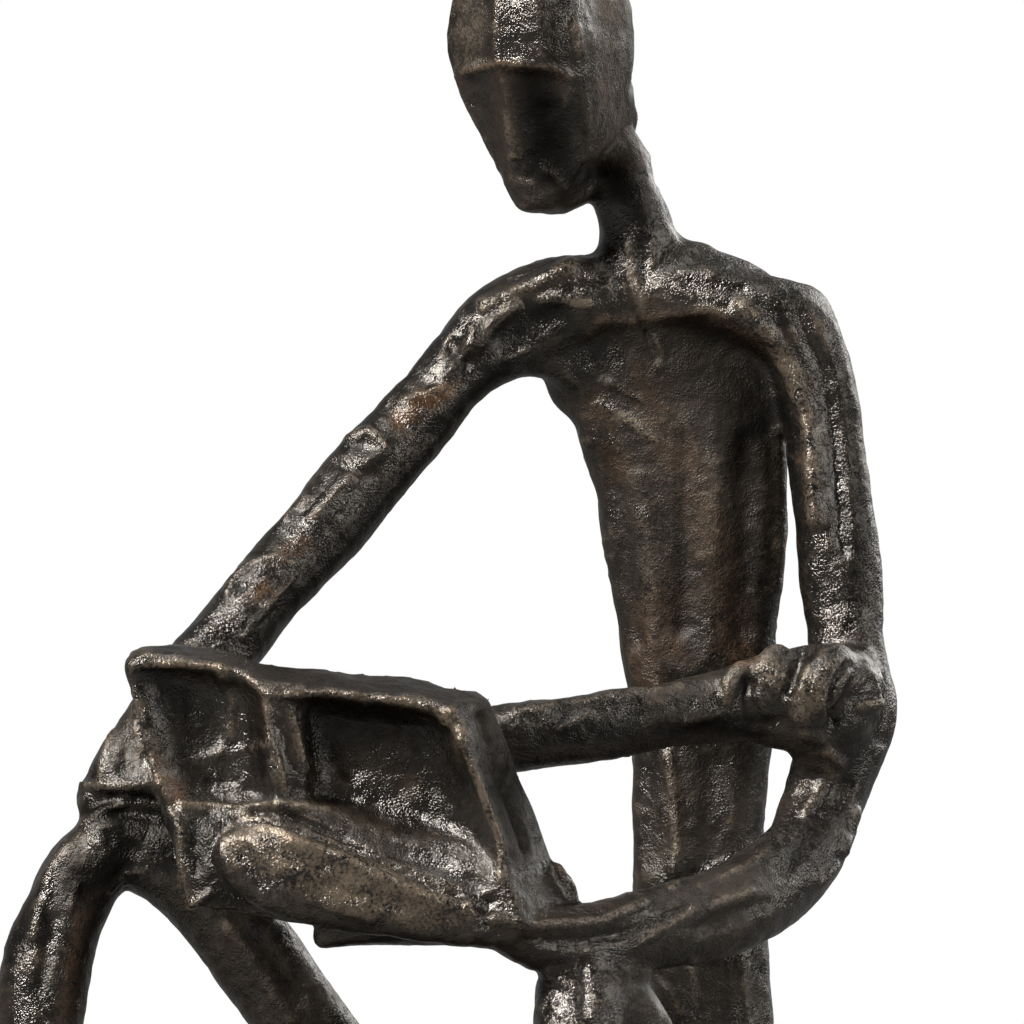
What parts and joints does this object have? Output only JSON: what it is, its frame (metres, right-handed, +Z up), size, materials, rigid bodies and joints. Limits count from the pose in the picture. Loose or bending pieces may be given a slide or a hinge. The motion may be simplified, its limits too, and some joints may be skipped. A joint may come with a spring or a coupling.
{
  "type": "seated reader statue",
  "caption": "Slender cast iron figure seated with raised knees and reading a thick open book, on a low rectangular base; stands freely on a shelf or table.",
  "frame": {"origin": "middle of the base's underside", "axes": "+Z up, -Y towards the side that the figure faces, +X towards the figure's own left"},
  "size_m": [0.22, 0.168, 0.3113],
  "materials": {
    "dark_patina": "dark brown-black patina, satin, rubbed warm on the ridges",
    "slab_patina": "dark brown-black patina, plainer and a little duller than the figure's"
  },
  "bodies": {
    "root": {"figure": "dark_patina", "base": "slab_patina"}
  },
  "joints": []
}
